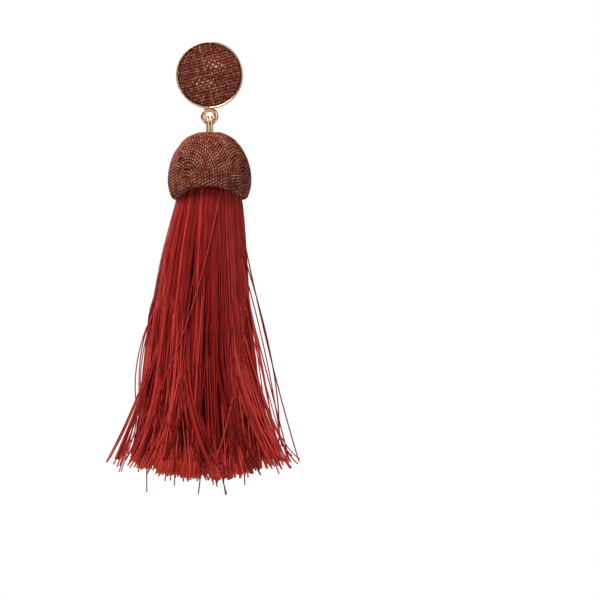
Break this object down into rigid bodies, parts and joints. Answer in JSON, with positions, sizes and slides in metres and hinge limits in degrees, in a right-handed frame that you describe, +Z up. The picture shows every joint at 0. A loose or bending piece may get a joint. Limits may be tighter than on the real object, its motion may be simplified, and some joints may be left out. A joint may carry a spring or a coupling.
{
  "type": "tassel earring",
  "caption": "Drop earring: a round metal setting with a cloth button and an ear post, wire rings, and a wound thread cap that holds a long silky fringe.",
  "frame": {"origin": "where the ear post leaves the back plate of the setting, at the front of the ear lobe", "axes": "+Z up along the hanging drop, +Y back along the ear post, -Y the front with the cloth, +X to the right seen from the front"},
  "size_m": [0.0413, 0.0268, 0.0978],
  "materials": {
    "gold_metal": "pale rose gold plate, smooth polish",
    "woven_cloth": "coarse plain weave in red brown yarn with pale flecks",
    "pin_metal": "plain drawn wire",
    "wound_thread": "twisted red brown thread wound in rows, matt",
    "silky_fringe": "glossy dark red floss in fine strands"
  },
  "bodies": {
    "stud": {"setting": "gold_metal", "cloth_button": "woven_cloth"},
    "link": {"link_ring_left": "gold_metal", "link_ring_right": "gold_metal"},
    "tassel": {"head_pin": "pin_metal", "wound_cap": "wound_thread", "fringe": "silky_fringe"}
  },
  "joints": [
    {"name": "link_swing", "type": "hinge", "parent": "stud", "child": "link", "pos_m": [0, -0.0011, -0.01264], "axis": [1, 0, 0], "range_deg": [-75, 75]},
    {"name": "tassel_rock", "type": "hinge", "parent": "link", "child": "tassel", "pos_m": [0, -0.0011, -0.01564], "axis": [0, 1, 0], "range_deg": [-25, 25]}
  ]
}
